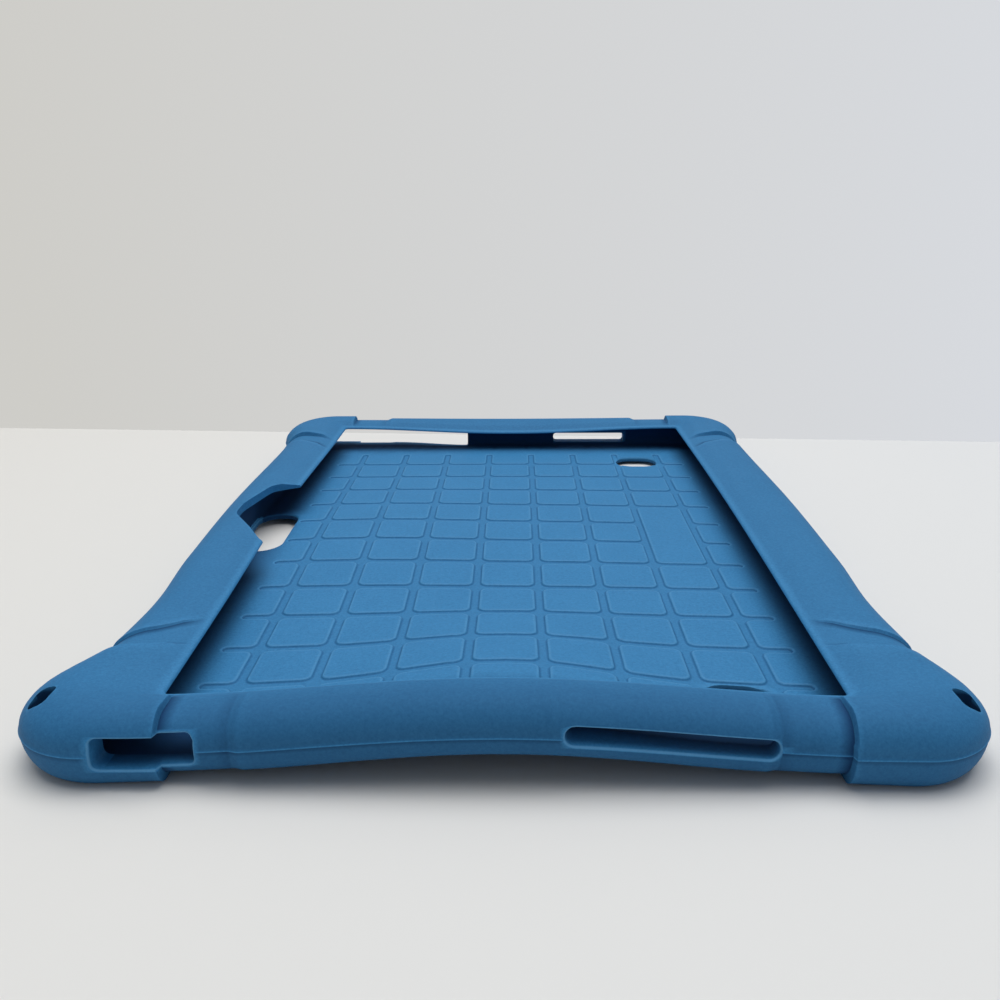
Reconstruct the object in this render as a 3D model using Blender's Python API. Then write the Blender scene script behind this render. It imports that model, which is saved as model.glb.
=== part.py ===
# Soft case for a ten inch tablet, moulded in one piece from silicone rubber.
# X runs across the short sides, Y along the long sides, Z up from the table.
# The case is first built flat, as it leaves its mould, then cut, and last let
# go slack as an empty case does: near side arched, floor risen, sides bowed.
import math

import bmesh
import bpy
from mathutils import Vector

# The tablet that the pocket is moulded round
POCKET_WIDTH = 0.1715
POCKET_LENGTH = 0.2430
POCKET_DEPTH = 0.0091
POCKET_CORNER = 0.011
SCREEN_WIDTH = 0.1370
SCREEN_LENGTH = 0.2236
SCREEN_CORNER = 0.0012

# Back
BACK_LIFT = 0.0012
BACK_THICKNESS = 0.0017
FLOOR_FILLET = 0.0022

# Sides and the lip that holds the tablet in
LONG_WALL = 0.0060
SHORT_WALL = 0.0046
RIM_CORNER = 0.016
LIP_THICKNESS = 0.0018
LIP_EDGE = 0.0010
LIP_EDGE_DROP = 0.0009
LIP_FILLET = 0.0011
PARTING_HEIGHT = 0.0078
HEEL_RADIUS = 0.0057
BUMPER_HEEL_RADIUS = 0.0052
HEEL_LIMIT = 0.97
FOOT_SHARE = 0.8
CREST_SHARE = 0.42
CREASE_SHARE = 0.74
CREASE_RISE = 0.6

# Raised middle of each side, and the thick bumpers at the corners
STEP_RUN = 0.0009
STEP_SLANT = 0.0110
SLANT_CENTRE = 0.0840
SLANT_SPAN = 0.0220
MIDDLE_RAISE = 0.0007
MIDDLE_HALF_LONG = 0.0862
MIDDLE_HALF_SHORT = 0.0500
BUMPER_CORNER = 0.0175
BUMPER_RISE = 0.0015
BUMPER_RISE_LONG = 0.0950
BUMPER_RISE_SHORT = 0.0655
BUMPER_SHORT_WALL = 0.0014
NEAR_BUMPER_WALL = 0.0057
NEAR_FLARE_START = 0.0890
NEAR_FLARE_RUN = 0.0200
FAR_BUMPER_WALL = 0.0023
FAR_FLARE_START = 0.0965
FAR_FLARE_RUN = 0.0100

# Grooves pressed into the floor, which leave rows of pads
PAD_PITCH_X = 0.0172
PAD_PITCH_Y = 0.0180
PAD_CORNER = 0.0020
GROOVE_WIDTH = 0.0023
GROOVE_DEPTH = 0.00045
GROOVE_COLUMNS = 8
GROOVE_ROWS = 11
GROOVE_OVERRUN_X = 0.0078
GROOVE_OVERRUN_Y = 0.0140
GROOVE_SHIFT = -0.0012
PLATE_COLUMN = 6
PLATE_ROWS = (4, 5, 6)

# Openings in the short sides: along the side from and to, lowest and highest
PORT_CUT = (-0.0780, -0.0590, 0.0048, 0.0113)
NEAR_SLOT = (0.0115, 0.0520, 0.0063, 0.0102)
FAR_OPENING = (-0.0770, -0.0185, 0.0029, 0.0114)
FAR_SLOT = (0.0185, 0.0487, 0.0039, 0.0077)
PORT_CORNER = 0.0013
NEAR_SLOT_CORNER = 0.0019
FAR_OPENING_CORNER = 0.0008
FAR_SLOT_CORNER = 0.0012
SILL_DIP = 0.0010
SILL_DIP_START = -0.0500
CUT_INSET = 0.00115

# Openings in the back
SPEAKER_WIDTH = 0.0160
SPEAKER_LENGTH = 0.0130
SPEAKER_X = 0.0510
NEAR_SPEAKER_Y = -0.0975
FAR_SPEAKER_Y = 0.0925
SPEAKER_CORNER = 0.0060
CAMERA_WIDTH = 0.0140
CAMERA_LENGTH = 0.0345
CAMERA_X = -0.0775
CAMERA_Y = 0.0080
CAMERA_CORNER = 0.0065

# Notch in the left lip over the camera hole
NOTCH_REACH = 0.0836
NOTCH_NEAR = -0.0065
NOTCH_FAR = 0.0020
NOTCH_SHOULDER_X = 0.0780
NOTCH_SHOULDER_Y = 0.0215
NOTCH_NEAR_MOUTH = -0.0275
NOTCH_FAR_MOUTH = 0.0260
NOTCH_SOFTENING = 0.0025

# Strap holes through the near bumpers
STRAP_LENGTH = 0.0058
STRAP_WIDTH = 0.0042
STRAP_CORNER = 0.0015
STRAP_X = 0.0914
STRAP_Y = 0.1150
STRAP_TILT = math.radians(9)

# How the empty case has gone slack
NEAR_ARCH = 0.0041
ARCH_HALF_SPAN = 0.0750
HUMP_RISE = 0.0042
HUMP_HALF_SPAN = 0.0440
HUMP_Y = -0.1160
HUMP_FADE = 0.0805
DOME_RISE = 0.0014
CAMERA_SIDE_RISE = 0.0016
CAMERA_SIDE_X = -0.0520
CAMERA_SIDE_Y = 0.0054
CAMERA_SIDE_SPAN_X = 0.0620
CAMERA_SIDE_SPAN_Y = 0.0850
FAR_LIP_SAG = 0.0022
SIDE_BOW = 0.0010
SIDE_BOW_Y = 0.0150
SIDE_BOW_SPAN = 0.0700
WAIST = 0.0014
WAIST_Y = -0.0640
WAIST_SPAN = 0.0300
LEFT_TUCK = 0.0019
LEFT_TUCK_RUN = 0.0300
LIP_BOW = 0.0017
LIP_BOW_Y = 0.0200
LIP_BOW_SPAN = 0.1900
BUMPER_LEAN = 0.0007

# Fineness of the mesh
CUT_MARGIN = 0.010
SIDE_PIECES = 6
ARC_PIECES = 8
HEEL_PIECES = 4
CREST_PIECES = 5

DIAGONAL = math.sqrt(0.5)
FLOOR_TOP = BACK_LIFT + BACK_THICKNESS
LIP_UNDERSIDE = FLOOR_TOP + POCKET_DEPTH
RIM_TOP = LIP_UNDERSIDE + LIP_THICKNESS
EDGE_TOP = RIM_TOP - LIP_EDGE_DROP

# Outlines in plan: half width, half length, corner radius
POCKET = (POCKET_WIDTH / 2, POCKET_LENGTH / 2, POCKET_CORNER)
SCREEN = (SCREEN_WIDTH / 2, SCREEN_LENGTH / 2, SCREEN_CORNER)
FLOOR = (POCKET[0] - FLOOR_FILLET, POCKET[1] - FLOOR_FILLET, POCKET_CORNER - FLOOR_FILLET)
RIM = (POCKET[0] + LONG_WALL, POCKET[1] + SHORT_WALL, RIM_CORNER)
NEAR_BUMPER = (RIM[0] + NEAR_BUMPER_WALL, RIM[1] + BUMPER_SHORT_WALL, BUMPER_CORNER)
FAR_BUMPER = (RIM[0] + FAR_BUMPER_WALL, RIM[1] + BUMPER_SHORT_WALL, BUMPER_CORNER)
STRAIGHT_X = SCREEN[0] - SCREEN[2]
STRAIGHT_Y = NEAR_BUMPER[1] - BUMPER_CORNER


def smooth(value, start, end):
    """Ease from 0 at start to 1 at end."""
    t = min(max((value - start) / (end - start), 0.0), 1.0)
    return t * t * (3.0 - 2.0 * t)


def hill(value, centre, half_span):
    """A smooth hill: 1 at its centre, 0 from half_span outwards."""
    t = min(abs(value - centre) / half_span, 1.0)
    return math.cos(math.pi / 2 * t) ** 2


def side_stops(straight, marks):
    """Distances along half a side: even pieces, with the given marks kept."""
    marks = sorted([0.0, straight] + marks)
    stops = [marks[0]]
    for low, high in zip(marks, marks[1:]):
        pieces = max(1, round((high - low) / straight * SIDE_PIECES))
        stops += [low + (high - low) * k / pieces for k in range(1, pieces + 1)]
    return stops


def quarter_stations():
    """Stations from the middle of the right side to the middle of the far side."""
    long_marks = [MIDDLE_HALF_LONG, MIDDLE_HALF_LONG + STEP_RUN,
                  BUMPER_RISE_LONG, BUMPER_RISE_LONG + STEP_RUN]
    long_marks += [NEAR_FLARE_START + NEAR_FLARE_RUN * k / 4 for k in range(5)]
    short_marks = [MIDDLE_HALF_SHORT, MIDDLE_HALF_SHORT + STEP_RUN,
                   BUMPER_RISE_SHORT, BUMPER_RISE_SHORT + STEP_RUN]
    stations = [("long side", y) for y in side_stops(STRAIGHT_Y, long_marks)]
    stations += [("arc", math.pi / 2 * k / ARC_PIECES) for k in range(ARC_PIECES + 1)]
    stations += [("short side", x) for x in reversed(side_stops(STRAIGHT_X, short_marks))]
    return stations


def ring_stations():
    """All stations round the case, each with the signs of its quarter."""
    quarter = quarter_stations()
    back_way = quarter[::-1]
    ring = [(s, 1, 1) for s in quarter]
    ring += [(s, -1, 1) for s in back_way[1:]]
    ring += [(s, -1, -1) for s in quarter[1:]]
    ring += [(s, 1, -1) for s in back_way[1:-1]]
    return ring


def plan_point(outline, station):
    """Where a station of the first quarter meets a rounded rectangle."""
    half_x, half_y, radius = outline
    part, value = station
    if part == "long side":
        return Vector((half_x, value))
    if part == "short side":
        return Vector((value, half_y))
    corner = Vector((half_x - radius, half_y - radius))
    return corner + radius * Vector((math.cos(value), math.sin(value)))


def swell(station, near):
    """How much a station has of the raised middle, bumper rise and bumper flare."""
    part, value = station
    if part == "long side":
        start, run = (NEAR_FLARE_START, NEAR_FLARE_RUN) if near else (FAR_FLARE_START, FAR_FLARE_RUN)
        return (1.0 - smooth(value, MIDDLE_HALF_LONG, MIDDLE_HALF_LONG + STEP_RUN),
                smooth(value, BUMPER_RISE_LONG, BUMPER_RISE_LONG + STEP_RUN),
                smooth(value, start, start + run))
    if part == "short side":
        bumper = smooth(value, BUMPER_RISE_SHORT, BUMPER_RISE_SHORT + STEP_RUN)
        return 1.0 - smooth(value, MIDDLE_HALF_SHORT, MIDDLE_HALF_SHORT + STEP_RUN), bumper, bumper
    return 0.0, 1.0, 1.0


def inner_profile(floor, pocket, screen, outward):
    """From the floor up the pocket wall, along the lip's underside and round its edge."""
    inward = (screen - pocket).normalized()
    quarter = 1.0 - DIAGONAL
    return [
        (floor, FLOOR_TOP),
        (floor.lerp(pocket, DIAGONAL), FLOOR_TOP + FLOOR_FILLET * quarter),
        (pocket, FLOOR_TOP + FLOOR_FILLET),
        (pocket, LIP_UNDERSIDE - LIP_FILLET),
        (pocket + inward * LIP_FILLET, LIP_UNDERSIDE),
        (screen, EDGE_TOP - LIP_EDGE),
        (screen + outward * LIP_EDGE * quarter, EDGE_TOP - LIP_EDGE * quarter),
        (screen + outward * LIP_EDGE, EDGE_TOP),
    ]


def outer_profile(outer, screen, top, foot, bottom, radius):
    """From the crease on the lip over the crest and down round the heel."""
    points = [(outer.lerp(screen, CREASE_SHARE), RIM_TOP + (top - RIM_TOP) * CREASE_RISE)]
    for k in range(CREST_PIECES + 1):
        turn = math.pi / 2 * k / CREST_PIECES
        place = outer.lerp(screen, CREST_SHARE * (1.0 - math.sin(turn)))
        points.append((place, PARTING_HEIGHT + (top - PARTING_HEIGHT) * math.cos(turn)))
    heel = min(radius / (foot - outer).length, HEEL_LIMIT)
    for k in range(1, HEEL_PIECES + 1):
        turn = math.pi / 2 * k / HEEL_PIECES
        place = outer.lerp(foot, heel * (1.0 - math.cos(turn)))
        points.append((place, PARTING_HEIGHT - (PARTING_HEIGHT - bottom) * math.sin(turn)))
    return points


def section(station, near):
    """Points of one cross-section, from the floor round to the underside."""
    middle, rise, flare = swell(station, near)
    rim, screen = plan_point(RIM, station), plan_point(SCREEN, station)
    pocket, floor = plan_point(POCKET, station), plan_point(FLOOR, station)
    outward = (rim - pocket).normalized()
    outer = rim.lerp(plan_point(NEAR_BUMPER if near else FAR_BUMPER, station), flare)
    outer = outer + outward * MIDDLE_RAISE * middle
    top = RIM_TOP + MIDDLE_RAISE * middle + BUMPER_RISE * rise
    bottom = BACK_LIFT * (1.0 - rise)
    foot = pocket.lerp(floor, FOOT_SHARE)
    radius = HEEL_RADIUS + (BUMPER_HEEL_RADIUS - HEEL_RADIUS) * flare

    points = inner_profile(floor, pocket, screen, outward)
    points += outer_profile(outer, screen, top, foot, bottom, radius)
    if station[0] == "long side":
        points = [(slanted(p, outer, screen), z) if z > PARTING_HEIGHT else (p, z) for p, z in points]
    return points + [(foot, bottom), (floor, BACK_LIFT)]


def slanted(point, outer, screen):
    """Shift a point of a long side's lip, so that the steps run aslant over it."""
    share = (outer.x - point.x) / (outer.x - screen.x)
    shift = STEP_SLANT * hill(point.y, SLANT_CENTRE, SLANT_SPAN) * share ** 2
    return Vector((point.x, point.y - shift))


def build_ring(bm):
    """Skin the sections into the sides and lip; give back the two inner loops."""
    rows = []
    for station, sign_x, sign_y in ring_stations():
        points = section(station, sign_y < 0)
        rows.append([bm.verts.new((p.x * sign_x, p.y * sign_y, z)) for p, z in points])
    for this, following in zip(rows, rows[1:] + rows[:1]):
        for k in range(len(this) - 1):
            bm.faces.new((this[k], this[k + 1], following[k + 1], following[k]))
    return [row[0] for row in rows], [row[-1] for row in rows]


def loop_edges(bm, verts):
    """Edges of a closed loop, made where they are missing."""
    pairs = zip(verts, verts[1:] + verts[:1])
    return [bm.edges.get(pair) or bm.edges.new(pair) for pair in pairs]


def fill(bm, *loops):
    """Fill the flat region between closed loops of vertices."""
    edges = [edge for loop in loops for edge in loop_edges(bm, loop)]
    bmesh.ops.triangle_fill(bm, use_beauty=True, edges=edges)


def rounded_box(low_x, high_x, low_y, high_y, radius, pieces=2):
    """Outline points of a rounded rectangle, counter-clockwise."""
    centres = ((high_x, high_y), (low_x, high_y), (low_x, low_y), (high_x, low_y))
    points = []
    for quarter, (x, y) in enumerate(centres):
        cx = x - radius if x == high_x else x + radius
        cy = y - radius if y == high_y else y + radius
        for k in range(pieces + 1):
            turn = math.pi / 2 * (quarter + k / pieces)
            points.append((cx + radius * math.cos(turn), cy + radius * math.sin(turn)))
    return points


def groove_lines(count, pitch):
    """Centre lines of evenly pitched grooves, symmetric about zero."""
    return [(k - (count - 1) / 2) * pitch for k in range(count)]


GROOVES_X = groove_lines(GROOVE_COLUMNS, PAD_PITCH_X)
GROOVES_Y = groove_lines(GROOVE_ROWS, PAD_PITCH_Y)


def pad_outlines():
    """Outlines of the closed pads; three of one column are joined into a plate."""
    gap = GROOVE_WIDTH / 2
    outlines = []
    for i, (left, right) in enumerate(zip(GROOVES_X, GROOVES_X[1:])):
        for j, (near, far) in enumerate(zip(GROOVES_Y, GROOVES_Y[1:])):
            if i == PLATE_COLUMN and j in PLATE_ROWS:
                if j != PLATE_ROWS[0]:
                    continue
                far = GROOVES_Y[PLATE_ROWS[-1] + 1]
            outlines.append(rounded_box(left + gap, right - gap, near + gap, far - gap, PAD_CORNER))
    return outlines


def finger(centre, root, tip):
    """One groove end, drawn as running along +X from the root line to the tip."""
    gap = GROOVE_WIDTH / 2
    points = []
    for side in (-1, 1):
        half = []
        for turn in (0.0, math.pi / 4, math.pi / 2):
            half.append((root + PAD_CORNER * (1.0 - math.cos(turn)),
                         centre + side * (gap + PAD_CORNER * (1.0 - math.sin(turn)))))
        half.append((tip, centre + side * gap))
        points += half if side < 0 else half[::-1]
    return points


def groove_outline():
    """Outer outline of the whole groove network, with its open ends."""
    gap = GROOVE_WIDTH / 2
    root_x, root_y = GROOVES_X[-1] + gap, GROOVES_Y[-1] + gap
    right = [p for y in GROOVES_Y for p in finger(y, root_x, root_x + GROOVE_OVERRUN_X)]
    top = [(-y, x) for c in GROOVES_X for x, y in finger(c, root_y, root_y + GROOVE_OVERRUN_Y)]
    corner = 3
    half = right[corner:] + top[corner:]
    return half + [(-x, -y) for x, y in half]


def build_floor(bm, edge):
    """Close the floor inside the ring, with the groove network sunk into it."""
    upper, lower = [], []
    for outline in [groove_outline()] + pad_outlines():
        shifted = [(x, y + GROOVE_SHIFT) for x, y in outline]
        upper.append([bm.verts.new((x, y, FLOOR_TOP)) for x, y in shifted])
        lower.append([bm.verts.new((x, y, FLOOR_TOP - GROOVE_DEPTH)) for x, y in shifted])
    for high, low in zip(upper, lower):
        for k in range(len(high)):
            n = (k + 1) % len(high)
            bm.faces.new((high[k], high[n], low[n], low[k]))
    fill(bm, edge, upper[0])
    fill(bm, *lower)
    for pad in upper[1:]:
        bm.faces.new(pad)


def build_underside(bm, edge):
    """Close the back and score it on the groove lines, so that it can bend."""
    whole = [bm.faces.new(edge)]
    rows = [y + GROOVE_SHIFT for y in GROOVES_Y]
    for lines, normal in ((GROOVES_X, Vector((1, 0, 0))), (rows, Vector((0, 1, 0)))):
        for line in lines:
            geometry = {item for f in whole for item in (f, *f.edges, *f.verts)}
            scored = bmesh.ops.bisect_plane(bm, geom=list(geometry), dist=1e-6,
                                            plane_co=normal * line, plane_no=normal)
            whole = [item for item in scored["geom"] if isinstance(item, bmesh.types.BMFace)]


def new_object(bm, name):
    """Turn a finished mesh into an object of the scene."""
    bmesh.ops.recalc_face_normals(bm, faces=bm.faces)
    mesh = bpy.data.meshes.new(name)
    bm.to_mesh(mesh)
    bm.free()
    made = bpy.data.objects.new(name, mesh)
    bpy.context.collection.objects.link(made)
    return made


def flat_case():
    """The case as it leaves the mould, before its openings."""
    bm = bmesh.new()
    floor_edge, back_edge = build_ring(bm)
    build_floor(bm, floor_edge)
    build_underside(bm, back_edge)
    bmesh.ops.triangulate(bm, faces=bm.faces)
    return new_object(bm, "tablet_case")


def prism(name, base, push):
    """A cutter: a flat outline pushed along one direction."""
    bm = bmesh.new()
    face = bm.faces.new([bm.verts.new(point) for point in base])
    swept = bmesh.ops.extrude_face_region(bm, geom=[face])
    moved = [item for item in swept["geom"] if isinstance(item, bmesh.types.BMVert)]
    bmesh.ops.translate(bm, verts=moved, vec=push)
    cutter = new_object(bm, name)
    cutter.hide_render = True
    cutter.display_type = 'WIRE'
    return cutter


def side_cutter(name, box, corner, side, dip=0.0):
    """Cutter for an opening in the near (-1) or far (1) side."""
    half_height = (box[2] + box[3]) / 2
    outline = [(x, z - dip * smooth(x, SILL_DIP_START, box[1])) if z < half_height else (x, z)
               for x, z in rounded_box(*box, corner, pieces=3)]
    inside, outside = FLOOR[1] - CUT_INSET, NEAR_BUMPER[1] + CUT_MARGIN
    base = [(x, side * inside, z) for x, z in outline]
    return prism(name, base, Vector((0, side * (outside - inside), 0)))


def side_cutters():
    """Cutters for the openings in the two short sides."""
    return [
        side_cutter("port_cut", PORT_CUT, PORT_CORNER, -1),
        side_cutter("near_slot_cut", NEAR_SLOT, NEAR_SLOT_CORNER, -1),
        side_cutter("far_opening_cut", FAR_OPENING, FAR_OPENING_CORNER, 1, SILL_DIP),
        side_cutter("far_slot_cut", FAR_SLOT, FAR_SLOT_CORNER, 1),
    ]


def upright_cutter(name, outline, low, high):
    """Cutter pushed straight up from one height to another."""
    return prism(name, [(x, y, low) for x, y in outline], Vector((0, 0, high - low)))


def hole_outline(width, length, corner, x, y, tilt=0.0):
    """A rounded hole in plan, turned by tilt about its own middle."""
    c, s = math.cos(tilt), math.sin(tilt)
    shape = rounded_box(-width / 2, width / 2, -length / 2, length / 2, corner, pieces=4)
    return [(x + px * c - py * s, y + px * s + py * c) for px, py in shape]


def notch_outline():
    """The notch in the left lip, with its corners softened."""
    mouth = SCREEN[0] - CUT_MARGIN
    corners = [Vector(p) for p in (
        (-SCREEN[0], NOTCH_FAR_MOUTH), (-NOTCH_SHOULDER_X, NOTCH_SHOULDER_Y),
        (-NOTCH_REACH, NOTCH_FAR), (-NOTCH_REACH, NOTCH_NEAR), (-SCREEN[0], NOTCH_NEAR_MOUTH))]
    start, end = Vector((-mouth, NOTCH_FAR_MOUTH)), Vector((-mouth, NOTCH_NEAR_MOUTH))
    points = [start]
    for before, corner, after in zip([start] + corners, corners, corners[1:] + [end]):
        first = corner + (before - corner).normalized() * NOTCH_SOFTENING
        last = corner + (after - corner).normalized() * NOTCH_SOFTENING
        points += [first, (first + 2 * corner + last) / 4, last]
    return [tuple(p) for p in points + [end]]


def back_cutters():
    """Cutters for the holes in the back and bumpers and for the lip's notch."""
    below, half_way, above = -CUT_MARGIN, FLOOR_TOP + POCKET_DEPTH / 2, RIM_TOP + CUT_MARGIN
    cutters = []
    for name, y in (("near_speaker_cut", NEAR_SPEAKER_Y), ("far_speaker_cut", FAR_SPEAKER_Y)):
        outline = hole_outline(SPEAKER_WIDTH, SPEAKER_LENGTH, SPEAKER_CORNER, SPEAKER_X, y)
        cutters.append(upright_cutter(name, outline, below, half_way))
    camera = hole_outline(CAMERA_WIDTH, CAMERA_LENGTH, CAMERA_CORNER, CAMERA_X, CAMERA_Y)
    cutters.append(upright_cutter("camera_cut", camera, below, half_way))
    cutters.append(upright_cutter("notch_cut", notch_outline(), half_way, above))
    for name, side in (("left_strap_cut", -1), ("right_strap_cut", 1)):
        outline = hole_outline(STRAP_WIDTH, STRAP_LENGTH, STRAP_CORNER, side * STRAP_X, -STRAP_Y,
                               side * STRAP_TILT)
        cutters.append(upright_cutter(name, outline, below, above))
    return cutters


def cut(case, cutters):
    """Cut the openings and keep the result as the case's own mesh."""
    for cutter in cutters:
        step = case.modifiers.new(cutter.name, 'BOOLEAN')
        step.operation = 'DIFFERENCE'
        step.solver = 'EXACT'
        step.object = cutter
    graph = bpy.context.evaluated_depsgraph_get()
    result = bpy.data.meshes.new_from_object(case.evaluated_get(graph))
    case.modifiers.clear()
    case.data = result
    bm = bmesh.new()
    bm.from_mesh(result)
    bmesh.ops.triangulate(bm, faces=bm.faces)
    bm.to_mesh(result)
    bm.free()


def lift(x, y, z):
    """How far a point of the slack case has risen from the flat one."""
    behind = y > HUMP_Y
    arch = NEAR_ARCH * hill(x, 0.0, ARCH_HALF_SPAN) * (hill(y, HUMP_Y, HUMP_FADE) if behind else 1.0)
    fade = HUMP_FADE if behind else 2.0 * (POCKET[1] + HUMP_Y)
    hump = HUMP_RISE * hill(x, 0.0, HUMP_HALF_SPAN) * hill(y, HUMP_Y, fade)
    loose = 1.0 - smooth(z, FLOOR_TOP, LIP_UNDERSIDE)
    dome = DOME_RISE * hill(x, 0.0, POCKET[0]) * hill(y, 0.0, POCKET[1])
    beside = hill(x, CAMERA_SIDE_X, CAMERA_SIDE_SPAN_X) * hill(y, CAMERA_SIDE_Y, CAMERA_SIDE_SPAN_Y)
    return arch + hump * loose + dome + CAMERA_SIDE_RISE * beside


def side_bow(x, y):
    """How far the outer face of a long side has moved outward."""
    bow = SIDE_BOW * hill(y, SIDE_BOW_Y, SIDE_BOW_SPAN) - WAIST * hill(y, WAIST_Y, WAIST_SPAN)
    if x < 0.0:
        bow -= LEFT_TUCK * smooth(STRAIGHT_Y - abs(y), 0.0, LEFT_TUCK_RUN)
    return bow


def slack(point):
    """Move a point of the flat case to where it lies on the slack one."""
    x, y, z = point
    moved = Vector((x, y, z + lift(x, y, z)))
    if y > 0.0 and z > LIP_UNDERSIDE - LIP_THICKNESS:
        moved.z -= FAR_LIP_SAG * hill(x, 0.0, SCREEN[0]) * smooth(y, RIM[1], SCREEN[1])
    share = smooth(abs(x), SCREEN[0], RIM[0])
    outward = side_bow(x, y) * share
    if z > LIP_UNDERSIDE - LIP_THICKNESS:
        outward += LIP_BOW * hill(y, LIP_BOW_Y, LIP_BOW_SPAN) * (1.0 - share)
    lean = BUMPER_LEAN * smooth(-y, WAIST_SPAN - WAIST_Y, STRAIGHT_Y) * share
    moved.x += outward * math.copysign(1.0, x) - lean
    return moved


def silicone():
    """Matte blue silicone rubber."""
    material = bpy.data.materials.new("silicone")
    material.use_nodes = True
    shader = material.node_tree.nodes["Principled BSDF"]
    shader.inputs["Base Color"].default_value = (0.05, 0.20, 0.41, 1.0)
    shader.inputs["Roughness"].default_value = 0.62
    shader.inputs["Metallic"].default_value = 0.0
    return material


for old in list(bpy.data.objects):
    bpy.data.objects.remove(old)

tablet_case = flat_case()
cut(tablet_case, side_cutters() + back_cutters())
for vertex in tablet_case.data.vertices:
    vertex.co = slack(vertex.co)
tablet_case.data.materials.append(silicone())
tablet_case.data.shade_smooth()
tablet_case.data.set_sharp_from_angle(angle=math.radians(32))
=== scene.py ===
import math

import bmesh
import bpy
from mathutils import Matrix, Vector


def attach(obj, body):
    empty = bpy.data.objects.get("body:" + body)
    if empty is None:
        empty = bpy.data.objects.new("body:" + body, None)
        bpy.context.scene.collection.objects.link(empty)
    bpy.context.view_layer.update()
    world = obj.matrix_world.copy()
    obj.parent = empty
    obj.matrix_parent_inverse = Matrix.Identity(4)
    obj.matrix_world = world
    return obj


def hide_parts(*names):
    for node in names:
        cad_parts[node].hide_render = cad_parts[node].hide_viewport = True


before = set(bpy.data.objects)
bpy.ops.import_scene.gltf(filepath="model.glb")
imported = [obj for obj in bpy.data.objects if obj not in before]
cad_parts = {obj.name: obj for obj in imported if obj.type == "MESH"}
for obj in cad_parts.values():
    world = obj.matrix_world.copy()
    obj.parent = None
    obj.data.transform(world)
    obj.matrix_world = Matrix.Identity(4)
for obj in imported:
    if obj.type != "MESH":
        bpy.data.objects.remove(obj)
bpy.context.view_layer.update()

# The case is one soft moulding of blue silicone rubber, with a matte skin.
# Its rim is skinned here from cross-sections, finely enough to show the
# rounded crest, the turned-in lip, the steps and the mould's parting line.
pocket_depth = 0.0091
back_lift = 0.0012
floor_top = back_lift + 0.0017
lip_underside = floor_top + pocket_depth
rim_top = lip_underside + 0.0018
lip_edge = 0.0010
edge_top = rim_top - 0.0009
edge_foot = 0.00025
floor_fillet = 0.0022
lip_fillet = 0.0011
parting_height = 0.0078
parting_width = 0.00026
parting_ridge = 0.00018
crest_share = 0.42
crease_share = 0.74
crease_rise = 0.6
foot_share = 0.8
rim_heel = 0.0057
bumper_heel = 0.0052
heel_limit = 0.97
# how many pieces each part of a cross-section has, from the floor's edge on:
# fillet, pocket wall, turn under the lip, underside, foot and round of the lip's
# edge, then crease, crown, crest, heel and back
fillet_pieces, wall_pieces, turn_pieces, under_pieces, foot_pieces, edge_pieces = 6, 3, 4, 6, 2, 5
crease_pieces, crown_pieces, crest_pieces, heel_pieces, back_pieces = 4, 5, 14, 10, 3
same_place = 1e-6

# plan outlines: half width, half length, corner radius
pocket_plan = (0.08575, 0.1215, 0.011)
screen_plan = (0.0685, 0.1118, 0.0012)
floor_plan = tuple(size - floor_fillet for size in pocket_plan)
rim_plan = (pocket_plan[0] + 0.0060, pocket_plan[1] + 0.0046, 0.016)
near_bumper_plan = (rim_plan[0] + 0.0057, rim_plan[1] + 0.0014, 0.0175)
far_bumper_plan = (rim_plan[0] + 0.0023, rim_plan[1] + 0.0014, 0.0175)
straight_x = screen_plan[0] - screen_plan[2]
straight_y = near_bumper_plan[1] - near_bumper_plan[2]

# raised middle of each side and the corner bumpers
step_run = 0.0005
soft_step_run = 0.0024
middle_raise = 0.0007
middle_half_long = 0.0862
middle_half_short = 0.0500
bumper_rise = 0.0015
bumper_rise_long = 0.0950
bumper_rise_short = 0.0655
near_flare = (0.0890, 0.1090)
far_flare = (0.0965, 0.1065)
slant_reach = 0.0110
slant_centre = 0.0840
slant_span = 0.0220


def smooth(value, start, end):
    """Ease from 0 at start to 1 at end."""
    t = min(max((value - start) / (end - start), 0.0), 1.0)
    return t * t * (3.0 - 2.0 * t)


def hill(value, centre, half_span):
    """A smooth hill: 1 at its centre, 0 from half_span outwards."""
    t = min(abs(value - centre) / half_span, 1.0)
    return math.cos(math.pi / 2 * t) ** 2


def stops(straight, steps, piece=0.0026, step_pieces=4):
    """Places along half a side: about one to a piece, and several on each step."""
    marks = [0.0, straight]
    for start, end in steps:
        marks += [start + (end - start) * k / step_pieces for k in range(step_pieces + 1)]
    marks = sorted(mark for mark in marks if mark <= straight)
    places = marks[:1]
    for low, high in zip(marks, marks[1:]):
        count = max(1, round((high - low) / piece))
        places += [low + (high - low) * k / count for k in range(1, count + 1)]
    return places


def quarter_stations(arc_pieces=26):
    """Stations from the middle of a long side, round the corner, to the middle of a short one."""
    long_steps = [(place, place + step_run) for place in (middle_half_long, bumper_rise_long)]
    short_steps = [(middle_half_short, middle_half_short + soft_step_run),
                   (bumper_rise_short, bumper_rise_short + step_run)]
    around = [("long", place) for place in stops(straight_y, long_steps + [near_flare])]
    around += [("arc", math.pi / 2 * k / arc_pieces) for k in range(1, arc_pieces + 1)]
    return around + [("short", place) for place in reversed(stops(straight_x, short_steps))]


def plan_point(plan, station):
    """Where a station meets a rounded rectangle."""
    half_x, half_y, radius = plan
    part, value = station
    if part == "long":
        return Vector((half_x, value))
    if part == "short":
        return Vector((value, half_y))
    return Vector((half_x - radius + radius * math.cos(value),
                   half_y - radius + radius * math.sin(value)))


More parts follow.
